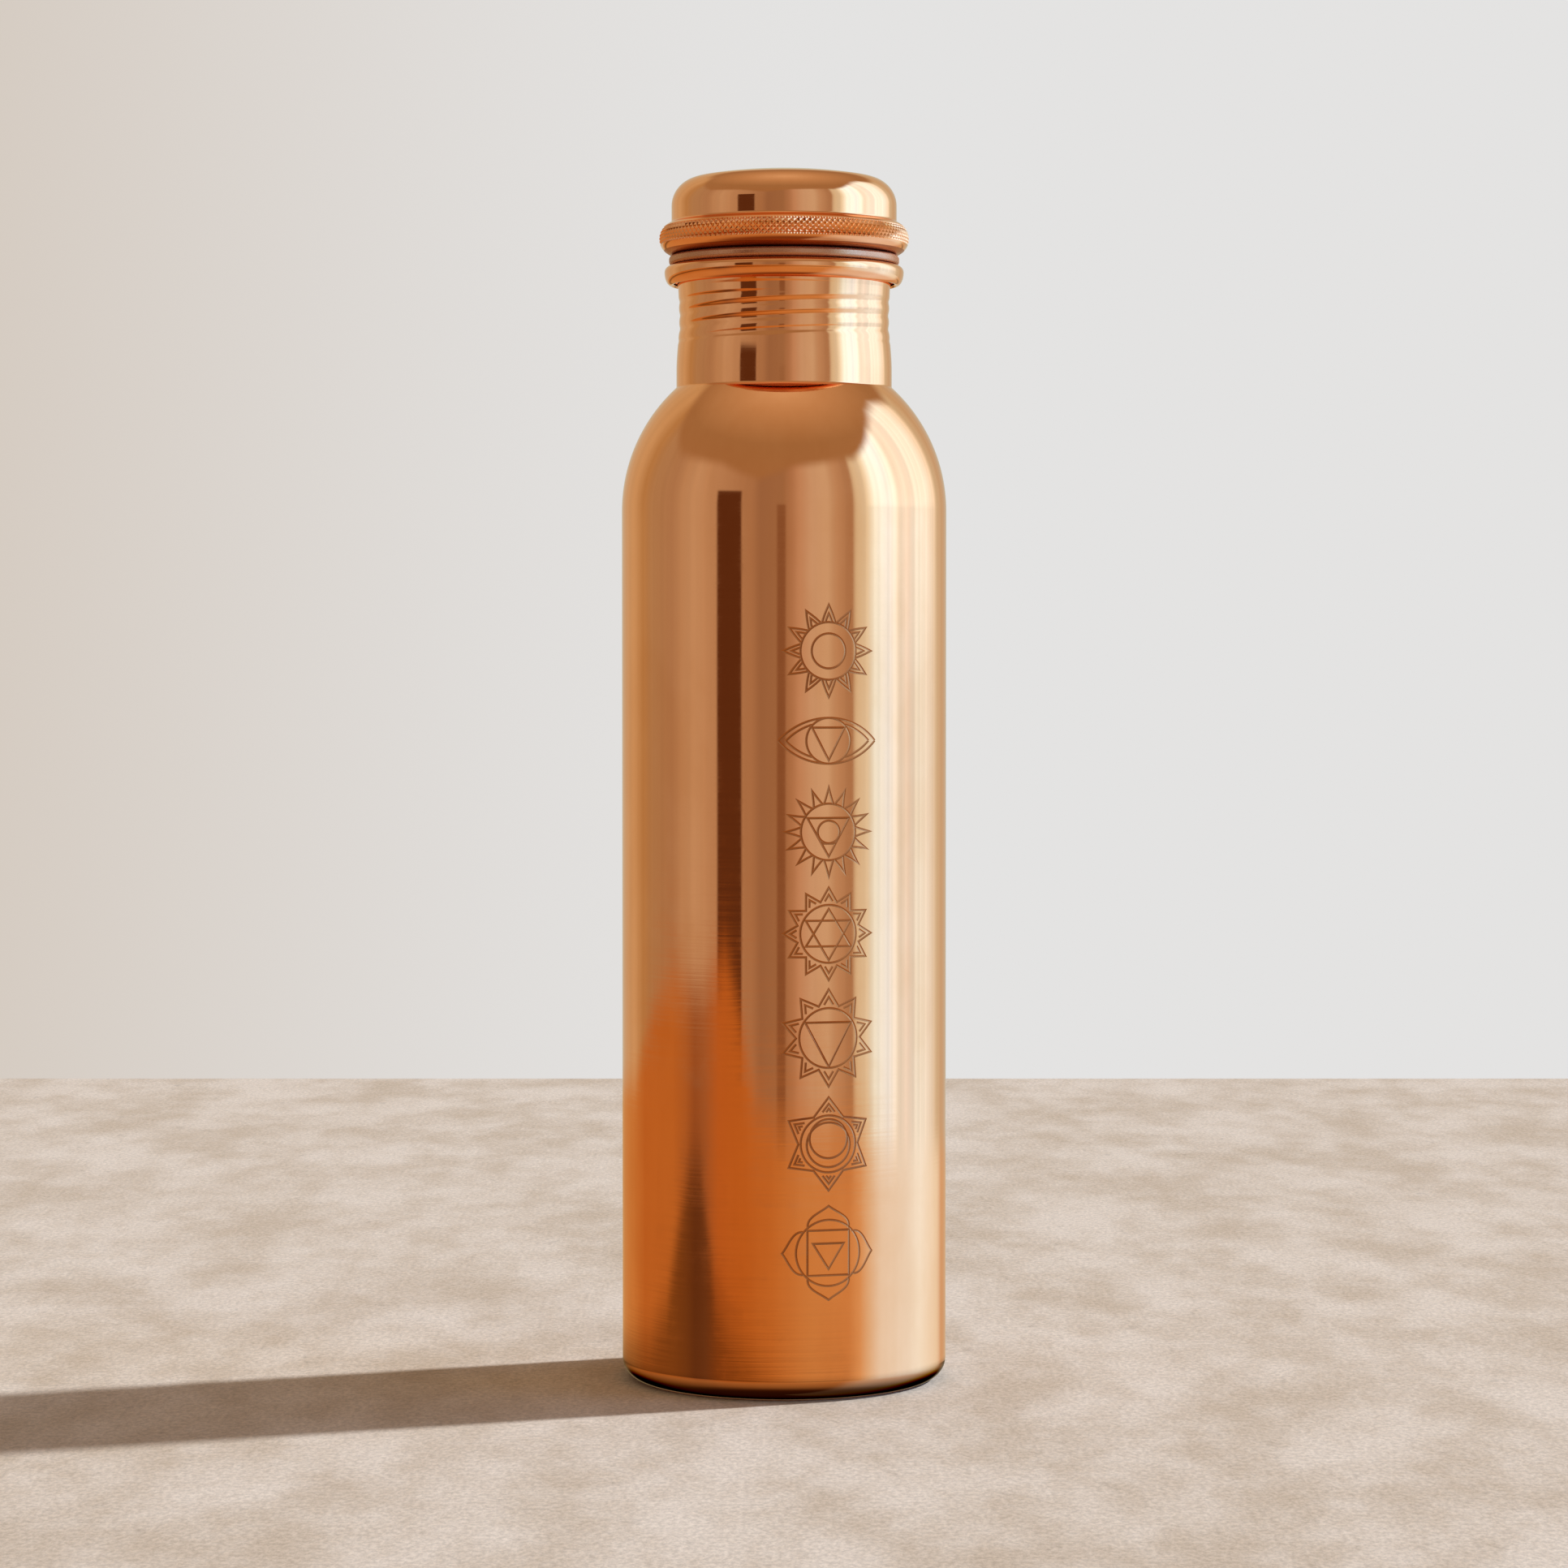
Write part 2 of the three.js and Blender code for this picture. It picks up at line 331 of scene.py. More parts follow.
def stroke_sides(line):
    """The two sides of a stroke along a line of points, mitred at its corners."""
    is_closed = math.dist(line[0], line[-1]) < NOTHING
    count = len(line)
    sides = []
    for i, p in enumerate(line):
        before = line[i - 1] if i else (line[-2] if is_closed else None)
        after = line[i + 1] if i < count - 1 else (line[1] if is_closed else None)
        legs = []
        for a, b in ((before, p), (p, after)):
            if a is not None and b is not None:
                d = Vector((b[0] - a[0], b[1] - a[1])).normalized()
                legs.append(Vector((-d.y, d.x)))
        mitre = sum(legs, Vector((0, 0)))
        mitre = mitre.normalized() if mitre.length > MITRE_LEAST else legs[0]
        reach = min(1 / max(mitre.dot(legs[0]), MITRE_LEAST), MITRE_LIMIT)
        offset = mitre * reach * STROKE
        sides.append(((p[0] + offset.x, p[1] + offset.y), (p[0] - offset.x, p[1] - offset.y)))
    return sides


def engraved_panel(columns, rows):
    """The flat layout of the front panel: its points, triangles and which of them are grooves.
    columns and rows are the panel's grid lines, across and up."""
    points = [Vector((u, v)) for v in rows for u in columns]
    edges, quads, segments = [], [], []
    for height, strokes in EMBLEMS:
        for stroke in strokes:
            line = [(x * MM, y * MM + height * MM) for x, y in stroke]
            sides = stroke_sides(line)
            first = len(points)
            for centre, (left, right) in zip(line, sides):
                points += [Vector(left), Vector(centre), Vector(right)]
            for i in range(len(line) - 1):
                k = first + 3 * i
                edges.append((k + 1, k + 4))
                quads.append([k + 2, k + 5, k + 3, k])
                segments.append((line[i], line[i + 1]))
    flat, _, triangles, _, _, origins = delaunay_2d_cdt(
        [p / MM for p in points], edges, quads, 0, WELD, True
    )
    flat = np.array([tuple(p) for p in flat]) * MM
    depth = np.zeros(len(flat))
    for a, b in segments:
        a, b = np.array(a), np.array(b)
        along = np.clip(((flat - a) @ (b - a)) / ((b - a) @ (b - a)), 0, 1)
        away = np.linalg.norm(flat - a - along[:, None] * (b - a), axis=1)
        depth = np.maximum(depth, 1 - away / STROKE)
    grooves = [bool(o) for o in origins]
    return flat, depth * STROKE_DEPTH, triangles, grooves


# ---- Shell of the bottle ---------------------------------------------------------------------------
def neck_radius(z, depth=0.0):
    """Radius of the plain neck's outer face at a height, less a depth."""
    if z < NECK_WAIST:
        step = smooth((NECK_WAIST - z) / (NECK_WAIST - NECK_STEP)) ** STEP_CURVE
        return NECK_WAIST_RADIUS + (NECK_LOW_RADIUS - NECK_WAIST_RADIUS) * step - depth
    section = NECK_UPPER_SECTION
    return NECK_WAIST_RADIUS + section - math.sqrt(section**2 - (z - NECK_WAIST) ** 2) - depth


def shell_face(depth, fine):
    """One face of the sheet, from the foot to the edge tucked under the lip."""
    fillet = SHOULDER_FILLET + depth
    centre_r = BODY_RADIUS - SHOULDER_SECTION
    fillet_r = NECK_LOW_RADIUS + SHOULDER_FILLET
    fillet_z = SHOULDER + math.sqrt((SHOULDER_SECTION + SHOULDER_FILLET) ** 2 - (fillet_r - centre_r) ** 2)
    meets = math.degrees(math.atan2(fillet_z - SHOULDER, fillet_r - centre_r))
    panel = round((PANEL_HIGH - PANEL_LOW) / PANEL_ROW) if depth == 0 else 1
    inset = SHEET - depth
    heights = np.linspace(fillet_z, NECK_TOP, NECK_ROWS * fine)
    neck = [(neck_radius(z, depth), z, None) for z in heights[1:]]
    lip_r = LIP_RADIUS - LIP_WIDTH
    over = oval(lip_r, LIP_CENTRE, LIP_WIDTH - inset, LIP_RISE - inset, 180, 0, 10 * fine)
    under = oval(lip_r, LIP_CENTRE, LIP_WIDTH - inset, LIP_DROP - inset, 0, LIP_CURL, 8 * fine)
    side = BODY_RADIUS - depth
    return joined(
        [(FOOT_INNER, depth, -math.pi / 2)],
        arc(BODY_RADIUS - CORNER, CORNER, CORNER - depth, -90, 0, 8 * fine),
        straight((side, CORNER), (side, PANEL_LOW), 3),
        straight((side, PANEL_LOW), (side, PANEL_HIGH), panel),
        straight((side, PANEL_HIGH), (side, SHOULDER), 4),
        arc(centre_r, SHOULDER, SHOULDER_SECTION - depth, 0, meets, 14 * fine),
        hollow(arc(fillet_r, fillet_z, fillet, meets + 180, 180, 4 * fine)),
        neck,
        hollow(over),
        hollow(under),
    )


def shell_shift(angle, r, z):
    """The rolled thread: grooves outside the neck, and the thread itself inside it."""
    root = strength(NECK_THREAD, z) * (1 - helix(angle, z))
    return -NECK_GROOVE * root**GROOVE_CURVE if r > neck_radius(z, SHEET / 2) else -THREAD_DEPTH * root


def bend_panel(flat, depths, own_vertex, verts, normals):
    """Lays the flat panel round the shell. A point of its grid is the shell's own vertex, and the
    others are added to verts and normals. Returns the vertex of each point."""
    index = []
    for (u, v), depth in zip(flat, depths):
        own = own_vertex(u, v)
        if own is not None and depth < NOTHING:
            index.append(own)
            continue
        angle = FRONT + u / BODY_RADIUS
        r = BODY_RADIUS - depth
        index.append(len(verts))
        verts.append((r * math.cos(angle), r * math.sin(angle), v))
        normals.append((math.cos(angle), math.sin(angle), 0))
    return index


def make_shell(polished, engraved, satin):
    """The bottle's one sheet: polished outside, and satin inside and on the rim it stands on."""
    outer = shell_face(0, 2)
    inner = shell_face(SHEET, 1)
    outline = outer + hollow(inner)[::-1]
    step = TURN / COLUMNS
    front = round((FRONT % TURN) / step)
    panel_rows = [i for i, p in enumerate(outer) if PANEL_LOW - TOUCH <= p[1] <= PANEL_HIGH + TOUCH]
    first, last = panel_rows[0], panel_rows[-1]

    def in_panel(c, i):
        return first <= i < last and front - PANEL_COLUMNS <= c < front + PANEL_COLUMNS

    def is_satin(i):
        return outline[i + 1][1] < SATIN_RIM_TOP if i < len(outer) else outline[i][1] < NECK_TOP

    verts, normals, faces, bands, rows = turned(outline, COLUMNS, shell_shift, in_panel)
    looks = [satin if is_satin(i) else polished for i in bands]

    def own_vertex(u, v):
        column = u / BODY_RADIUS / step
        row = min(panel_rows, key=lambda i: abs(outer[i][1] - v))
        if abs(column - round(column)) > COLUMN_NEAR or abs(outer[row][1] - v) > ROW_NEAR:
            return None
        return rows[row][(front + round(column)) % COLUMNS]

    across = [k * step * BODY_RADIUS for k in range(-PANEL_COLUMNS, PANEL_COLUMNS + 1)]
    up = [outer[i][1] for i in panel_rows]
    flat, depths, triangles, grooves = engraved_panel(across, up)
    index = bend_panel(flat, depths, own_vertex, verts, normals)
    flat_faces = [len(faces) + k for k, groove in enumerate(grooves) if groove]
    faces += [[index[k] for k in corners] for corners in triangles]
    looks += [engraved if groove else polished for groove in grooves]
    materials = [polished, engraved, satin]
    return mesh_piece("bottle_shell", verts, faces, normals, materials, looks, flat_faces)


# ---- Base cup --------------------------------------------------------------------------------------
def make_base(copper):
    gap = 0.25 * MM
    dish_radius = 24 * MM
    rise = 2.4 * MM

    def face(depth):
        radius = CORNER - SHEET - gap - depth
        floor = CORNER - radius
        section = (dish_radius**2 + rise**2) / (2 * rise)
        edge = math.degrees(math.asin(dish_radius / section))
        dish = arc(0, floor + rise - section, section, 90, 90 - edge, 16)
        dish[0] = (0, dish[0][1], dish[0][2])
        wall = BODY_RADIUS - CORNER + radius
        return joined(
            hollow(dish),
            arc(BODY_RADIUS - CORNER, CORNER, radius, -90, 0, 8),
            straight((wall, CORNER), (wall, base_high.z), 3),
        )

    outline = face(0) + hollow(face(SHEET))[::-1]
    verts, normals, faces, _, _ = turned(outline, BASE_COLUMNS)
    return mesh_piece("bottle_base", verts, faces, normals, [copper])


# ---- Cap -------------------------------------------------------------------------------------------
CAP_SIDE = 24.6 * MM
CAP_CORNER = 6.2 * MM
CROWN = 110 * MM
BEAD_SECTION = 3.6 * MM
BEAD_RADIUS = dome_high.x - BEAD_SECTION
BEAD_HEIGHT = dome_low.z + BEAD_SECTION
LEDGE_FILLET = 0.6 * MM
HEM_INNER = 22 * MM
KNURL_COUNT = 132
KNURL_ROWS = 12
KNURL_STEPS = 4  # columns, and rows, from one groove to the next
KNURL_LOW = -22
KNURL_HIGH = 45
KNURL_DEPTH = 0.36 * MM
SHADED_HEM_HIGH = -46  # the bead's angle up to which the hem takes rougher copper, darkened as painted shade under the bead


def dome_face(depth, fine):
    """One face of the dome's sheet, from the hem's inner edge to the middle of the crown."""
    side = CAP_SIDE - depth
    section = BEAD_SECTION - depth
    across = CAP_SIDE + LEDGE_FILLET - BEAD_RADIUS
    along = math.sqrt((BEAD_SECTION + LEDGE_FILLET) ** 2 - across**2)
    meets = math.degrees(math.atan2(along, across))
    corner_r = CAP_SIDE - CAP_CORNER
    tilt = math.degrees(math.asin(corner_r / (CROWN - CAP_CORNER)))
    crown_z = dome_high.z - CROWN
    corner_z = crown_z + (CROWN - CAP_CORNER) * math.cos(math.radians(tilt))
    ledge_z = BEAD_HEIGHT + along
    ledge_radius = LEDGE_FILLET + depth
    ledge = arc(CAP_SIDE + LEDGE_FILLET, ledge_z, ledge_radius, meets + 180, 180, 2 * fine)
    crown = arc(0, crown_z, CROWN - depth, 90 - tilt, 90, 7 * fine)
    crown[-1] = (0, crown[-1][1], crown[-1][2])
    return joined(
        [(HEM_INNER, dome_low.z + depth, -math.pi / 2)],
        arc(BEAD_RADIUS, BEAD_HEIGHT, section, -90, KNURL_LOW, 6 * fine),
        arc(BEAD_RADIUS, BEAD_HEIGHT, section, KNURL_LOW, KNURL_HIGH, KNURL_ROWS * fine // 2),
        arc(BEAD_RADIUS, BEAD_HEIGHT, section, KNURL_HIGH, meets, 4 * fine),
        hollow(ledge),
        straight((side, ledge_z), (side, corner_z), 2),
        arc(corner_r, corner_z, CAP_CORNER - depth, 0, 90 - tilt, 8 * fine),
        crown,
    )


def knurl_shift(angle, r, z):
    """Depth of the diamond knurl: pyramids between two crossing sets of grooves."""
    lift = math.degrees(math.atan2(z - BEAD_HEIGHT, r - BEAD_RADIUS))
    on_bead = abs(math.hypot(r - BEAD_RADIUS, z - BEAD_HEIGHT) - BEAD_SECTION) < TOUCH
    if not on_bead or not KNURL_LOW < lift < KNURL_HIGH:
        return 0
    up = (lift - KNURL_LOW) / (KNURL_HIGH - KNURL_LOW) * KNURL_ROWS / KNURL_STEPS
    around = angle / TURN * KNURL_COUNT
    near = [2 * abs((cut + 0.5) % 1 - 0.5) for cut in (around + up, around - up)]
    return -KNURL_DEPTH * (1 - min(near))


def make_dome(polished, inside, hem):
    outer = dome_face(0, 2)
    inner = dome_face(SHEET, 1)
    columns = KNURL_COUNT * KNURL_STEPS
    outline = outer + hollow(inner)[::-1]
    low = min(range(len(outer)), key=lambda i: abs(outer[i][2] - math.radians(KNURL_LOW)))
    verts, normals, quads, bands, _ = turned(outline, columns, knurl_shift)

    def look(band):
        # Under the bead the hem is darkened: painted shade.
        if band < low and math.degrees(outer[band][2]) < SHADED_HEM_HIGH:
            return hem
        return inside if len(outer) - 1 < band < len(outline) - 1 else polished

    faces, looks, flat_faces = [], [], []
    for quad, band in zip(quads, bands):
        if not low <= band < low + KNURL_ROWS:
            faces.append(quad)
            looks.append(look(band))
            continue
        slants = (quad[0] % columns + band - low) % 2
        for half in ([0, 1, 3], [1, 2, 3]) if slants else ([0, 1, 2], [0, 2, 3]):
            flat_faces.append(len(faces))
            faces.append([quad[n] for n in half])
            looks.append(look(band))
    materials = [polished, inside, hem]
    return mesh_piece("cap_shell", verts, faces, normals, materials, looks, flat_faces)


PLUG_FLANGE = plug_high.x
FLANGE_WIDTH = 3.09 * MM
PLUG_ROOT = PLUG_FLANGE - FLANGE_WIDTH
PLUG_CORNER = 2 * MM
PLUG_CENTRE = 2 * MM  # radius of the first ring of faces on the plug's floor


def plug_shift(angle, r, z):
    """The rolled thread on both faces of the plug's side."""
    on_thread = PLUG_ROOT - SHEET * 1.5 < r < PLUG_FLANGE - SHEET
    return THREAD_DEPTH * strength(PLUG_THREAD, z) * helix(angle, z) if on_thread else 0


def plug_face(depth):
    """One face of the plug's sheet, from the middle of its floor to the flange's edge."""
    side = PLUG_ROOT - depth
    corner_r = PLUG_ROOT - PLUG_CORNER
    corner_z = plug_low.z + PLUG_CORNER
    under = plug_high.z - SHEET
    heights = np.linspace(corner_z, under + depth, PLUG_ROWS)
    return joined(
        [(0, plug_low.z + depth, -math.pi / 2)],
        straight((PLUG_CENTRE, plug_low.z + depth), (corner_r, plug_low.z + depth), 6),
        arc(corner_r, corner_z, PLUG_CORNER - depth, -90, 0, 6),
        [(side, z, 0.0) for z in heights[1:]],
    )


def make_plug(copper):
    under = plug_high.z - SHEET
    flange = [(PLUG_FLANGE, under, None), (PLUG_FLANGE, plug_high.z, None)]
    outline = plug_face(0) + flange + hollow(plug_face(SHEET))[::-1]
    verts, normals, faces, _, _ = turned(outline, COLUMNS, plug_shift)
    return mesh_piece("cap_screw_plug", verts, faces, normals, [copper])


def make_gasket(rubber):
    round_off = 0.8 * MM
    inset = 0.35 * MM  # how far the ring's edge stays inside its box
    edge = ring_high.x - inset - round_off
    inner = 21.76 * MM
    outline = joined(
        [(inner, ring_low.z, None)],
        arc(edge, ring_low.z + round_off, round_off, -90, 0, 6),
        arc(edge, ring_high.z - round_off, round_off, 0, 90, 6),
        [(inner, ring_high.z, None)],
    )
    verts, normals, faces, _, _ = turned(outline, RING_COLUMNS)
    return mesh_piece("cap_sealing_ring", verts, faces, normals, [rubber])


# ---- Materials -------------------------------------------------------------------------------------
def add(tree, kind, inputs=None, **settings):
    """A node with its settings made and its inputs set or linked."""
    node = tree.nodes.new(kind)
    for key, value in settings.items():
        setattr(node, key, value)
    for key, value in (inputs or {}).items():
        if isinstance(value, bpy.types.NodeSocket):
            tree.links.new(value, node.inputs[key])
        else:
            node.inputs[key].default_value = value
    return node


def new_tree(owner):
    owner.use_nodes = True
    owner.node_tree.nodes.clear()
    return owner.node_tree


def object_points(tree, stretch):
    """Object coordinates in millimetres, stretched along each axis."""
    place = add(tree, "ShaderNodeTexCoord").outputs["Object"]
    return add(tree, "ShaderNodeMapping", {"Vector": place, "Scale": [1000 * s for s in stretch]}).outputs[0]


def noise(tree, size, stretch=(1, 1, 1), detail=3.0, roughness=0.5):
    """Noise whose features are size millimetres across."""
    points = object_points(tree, [s / size for s in stretch])
    inputs = {"Vector": points, "Scale": 1.0, "Detail": detail, "Roughness": roughness}
    return add(tree, "ShaderNodeTexNoise", inputs).outputs[0]


def spread(tree, value, low, high, to_low=0.0, to_high=1.0):
    """A value moved from one range to another and kept inside it."""
    inputs = {"Value": value, "From Min": low, "From Max": high, "To Min": to_low, "To Max": to_high}
    return add(tree, "ShaderNodeMapRange", inputs, interpolation_type="SMOOTHSTEP").outputs[0]


def calculate(tree, operation, a, b=0.0):
    return add(tree, "ShaderNodeMath", {0: a, 1: b}, operation=operation).outputs[0]


def product(tree, a, b):
    return calculate(tree, "MULTIPLY", a, b)


def total(tree, a, b):
    return calculate(tree, "ADD", a, b)


def rest_of(tree, share):
    """What a share leaves of 1."""
    return calculate(tree, "SUBTRACT", 1.0, share)


def mix_colour(tree, factor, a, b):
    node = add(tree, "ShaderNodeMix", data_type="RGBA")
    sockets = {"Factor": node.inputs[0], "A": node.inputs[6], "B": node.inputs[7]}
    for key, value in (("Factor", factor), ("A", a), ("B", b)):
        if isinstance(value, bpy.types.NodeSocket):
            tree.links.new(value, sockets[key])
        else:
            sockets[key].default_value = value if key == "Factor" else (*value, 1)
    return node.outputs[2]


def scaled(tree, colour, factor):
    """A colour made brighter or darker by a factor."""
    node = add(tree, "ShaderNodeVectorMath", {0: colour}, operation="SCALE")
    tree.links.new(factor, node.inputs["Scale"])
    return node.outputs[0]


def bump(tree, height, distance, share, normal=None):
    """Relief of a height at most distance deep, of which a share shows."""
    inputs = {"Height": height, "Distance": distance, "Strength": share}
    if normal:
        inputs["Normal"] = normal
    return add(tree, "ShaderNodeBump", inputs).outputs[0]


def finish_material(tree, inputs):
    shader = add(tree, "ShaderNodeBsdfPrincipled", inputs)
    add(tree, "ShaderNodeOutputMaterial", {"Surface": shader.outputs[0]})


FOOT_PAINTED_SHADE = (1.8, 5.6)  # millimetres from the floor over which the foot's colour is darkened: painted contact shade
EDGE_TINT = (1.0, 0.86, 0.74)  # the colour of copper seen at a low angle
PATCH_SHARE = 0.55  # how much tarnish the broad patches and the fine streaks add
STREAK_SHARE = 0.18
WAVE_HEIGHT = 1 * MM
WAVES = 0.03  # how much of the waves' height shows
LINE_HEIGHT = 0.02 * MM  # depth of the lines from polishing


def copper(name, clean, tarnished, smooth_at, rough_at, brushing, foot=0.0):
    """Copper with patches of tarnish, handling marks and fine lines from polishing. foot is how
    much of the colour and edge tint is left at the bottom edge, under a painted contact shade; 0 leaves it
    out."""
    material = bpy.data.materials.new(name)
    tree = new_tree(material)
    patches = noise(tree, size=22, stretch=(1, 1, 0.6), detail=4, roughness=0.6)
    tarnish = product(tree, spread(tree, patches, 0.42, 0.68), PATCH_SHARE)
    colour = mix_colour(tree, tarnish, clean, tarnished)
    streaks = noise(tree, size=2.2, stretch=(1, 1, 0.05), detail=2)
    tarnish = product(tree, spread(tree, streaks, 0.35, 0.75), STREAK_SHARE)
    colour = mix_colour(tree, tarnish, colour, tarnished)
    edge = EDGE_TINT
    if foot:
        # Painted shade: the colour and the edge tint darken towards the floor, standing in for the contact
        # shadow under the foot.
        height = add(tree, "ShaderNodeSeparateXYZ", {0: object_points(tree, (1, 1, 1))}).outputs[2]
        shade = spread(tree, height, *FOOT_PAINTED_SHADE, foot, 1.0)
        colour = scaled(tree, colour, shade)
        edge = scaled(tree, edge, shade)
    lines = noise(tree, size=0.5, stretch=(0.02, 0.02, 1), detail=2, roughness=0.6)
    smudges = noise(tree, size=9, detail=5, roughness=0.65)
    lined = spread(tree, lines, 0.3, 0.7, smooth_at, (smooth_at + rough_at) / 2)
    smudged = product(tree, spread(tree, smudges, 0.5, 0.72), (rough_at - smooth_at) / 2)
    waves = bump(tree, noise(tree, size=26, stretch=(1, 1, 0.5), detail=1), WAVE_HEIGHT, WAVES)
    finish_material(tree, {
        "Base Color": colour,
        "Metallic": 1.0,
        "Specular Tint": edge if foot else (*edge, 1),
        "Roughness": total(tree, lined, smudged),
        "Normal": bump(tree, lines, LINE_HEIGHT, brushing, waves),
    })
    return material


def silicone(name):
    """Smooth silicone with a fine grain, made brown as painted shade under the cap's bead and painted
    reflection of the copper round it.
    """
    material = bpy.data.materials.new(name)
    tree = new_tree(material)
    clouds = spread(tree, noise(tree, size=7), 0.35, 0.7)
    # Painted shade: the brown colours darken the ring as if shaded by the bead above it.
    colour = mix_colour(tree, clouds, (0.33, 0.135, 0.08), (0.27, 0.105, 0.06))
    grain = noise(tree, size=0.35, detail=2)
    finish_material(tree, {
        "Base Color": colour,
        "Roughness": spread(tree, grain, 0.3, 0.7, 0.2, 0.32),
        "Subsurface Weight": 0.25,
        "Subsurface Radius": (4 * MM, 2 * MM, 1.5 * MM),
        "IOR": 2.6,
        "Specular IOR Level": 1.0,
        # Painted reflection: the copper tint of the ring's reflections stands in for the copper round it.
        "Specular Tint": (1.0, 0.5, 0.25, 1.0),
        "Normal": bump(tree, grain, 0.03 * MM, 0.5),
    })
    return material


def stone(name):
    """Pale honed stone for the floor."""
    material = bpy.data.materials.new(name)
    tree = new_tree(material)
    grain_way = (1, 0.45, 1)
    clouds = noise(tree, size=34, stretch=grain_way, detail=6, roughness=0.68)
    colour = mix_colour(tree, spread(tree, clouds, 0.34, 0.68), (0.66, 0.57, 0.47), (0.52, 0.42, 0.315))
    grain = noise(tree, size=1.1, stretch=(1, 0.55, 1), detail=4, roughness=0.75)
    pits = noise(tree, size=5, stretch=grain_way, detail=4, roughness=0.7)
    grained = spread(tree, grain, 0.3, 0.7, 1.16, 0.82)
    pitted = spread(tree, pits, 0.58, 0.74, 1.0, 0.84)
    colour = scaled(tree, colour, product(tree, grained, pitted))
    honed = {"Base Color": colour, "Roughness": 0.8, "Specular IOR Level": 0.05}
    finish_material(tree, honed)
    return material


# ---- Camera, light and floor -----------------------------------------------------------------------
# Metres, and angles in radians.
CAMERA_PLACE = Vector((-0.2555, -0.9275, 0.159))
CAMERA_TURN = math.radians(-15.4)
CAMERA_TILT = math.radians(88.294)
ACROSS = Vector((math.cos(CAMERA_TURN), math.sin(CAMERA_TURN), 0))
AWAY = Vector((-ACROSS.y, ACROSS.x, 0))
FLOOR_FRONT = 0.46
FLOOR_BACK = 0.675
FLOOR_SIDE = 2.0
FLOOR_DEPTH = 0.03
SUN_HEIGHT = math.radians(35)
SUN_ENERGY = 4.55
SUN_COLOUR = (0.83, 0.9, 1.0)
SUN_WIDTH = math.radians(3)
SUN_WAY = (ACROSS + 0.37 * AWAY).normalized()
LENS = 100.73
SENSOR = 36
LIGHT_SCALE = 5  # the brightest light that a colour ramp stands for

# What the copper reflects, by direction: degrees from the camera's side, turning to the right,
# then the colour of the light from there.
WALLS = [
    (-180, (0.60, 0.62, 0.50)), (-131, (0.62, 0.60, 0.49)), (-119, (0.49, 0.42, 0.28)),
    (-107, (0.46, 0.43, 0.37)), (-86, (0.44, 0.39, 0.35)), (-76, (0.52, 0.49, 0.46)),
    (-66, (0.57, 0.56, 0.55)), (-53, (0.52, 0.48, 0.45)), (-24, (0.42, 0.35, 0.30)),
    (-16, (0.34, 0.27, 0.23)), (0, (0.37, 0.30, 0.25)), (5, (0.44, 0.36, 0.32)),
    (11, (0.56, 0.51, 0.52)), (19, (0.62, 0.66, 0.74)), (31, (0.63, 0.70, 0.78)),
    (37, (0.55, 0.53, 0.53)), (49, (0.41, 0.35, 0.31)), (51.5, (0.72, 0.96, 1.15)),
    (61, (0.77, 1.18, 1.65)), (67, (0.92, 1.75, 3.20)), (79, (0.99, 1.90, 3.90)),
    (88, (0.95, 1.65, 2.90)), (98, (0.85, 1.40, 2.50)), (109, (0.95, 1.75, 3.20)),
    (123, (0.93, 1.60, 2.80)), (139, (0.70, 0.95, 1.10)), (150, (0.60, 0.66, 0.60)),
    (180, (0.60, 0.62, 0.50)),
]
GROUND = [
    (-180, (0.62, 0.44, 0.20)), (-135, (0.60, 0.37, 0.15)), (-117, (0.53, 0.26, 0.08)),
    (-85, (0.52, 0.26, 0.08)), (-74, (0.44, 0.22, 0.08)), (-66, (0.33, 0.16, 0.07)),
    (-58, (0.37, 0.19, 0.09)), (-47, (0.51, 0.22, 0.06)), (-28, (0.53, 0.24, 0.06)),
    (-8, (0.57, 0.30, 0.10)), (18, (0.63, 0.43, 0.22)), (46, (0.66, 0.46, 0.26)),
    (55, (0.74, 0.62, 0.45)), (62, (0.79, 0.92, 1.05)), (72, (0.86, 1.30, 2.05)),
    (98, (0.90, 1.50, 2.60)), (112, (1.00, 1.80, 3.30)), (140, (0.90, 1.30, 1.70)),
    (150, (0.70, 0.65, 0.50)), (180, (0.62, 0.50, 0.30)),
]
# Heights in degrees, by direction: the floor's far edge, and the top of the shade on the floor.
GROUND_EDGE = [
    (-180, -5.6), (-132, -5.6), (-105, -4.6), (-85, -4.2), (-60, -4.4), (-42, -3.9), (-33, -4.6),
    (-20, -5.8), (0, -6.2), (45, -6.2), (60, -6.4), (180, -6.4),
]
SHADE_EDGE = [
    (-180, -9.0), (-110, -8.9), (-92, -8.5), (-70, -6.6), (-62, -6.6), (-50, -8.3), (-38, -8.9),
    (-15, -9.4), (10, -9.9), (180, -9.9),
]
SHADE_DEPTH = 0.62
SHADE_LOW = -12.5
STEEP = (-11, -24)  # heights over which the far floor changes to the floor by the bottle
NEAR_FLOOR = (0.60, 0.37, 0.18)
STEEP_SHARE = 0.75
UNDER = (-40, -64)  # heights over which that changes to the floor under the bottle
DEEP = (0.20, 0.07, 0.025)
LIT_SIDE = (48, 150)  # directions from which the window lights the floor, and its colours there
LIT_FLOOR = (0.80, 0.84, 1.0)
LIT_DEEP = (0.50, 0.40, 0.35)
CEILING_EDGE = [
    (-180, 33), (-140, 46), (-125, 44), (-103, 34), (-90, 29), (-50, 29), (-18, 20), (6, 29), (45, 32),
    (56, 31), (70, 36), (85, 43), (105, 48), (122, 46), (138, 36), (180, 33),
]
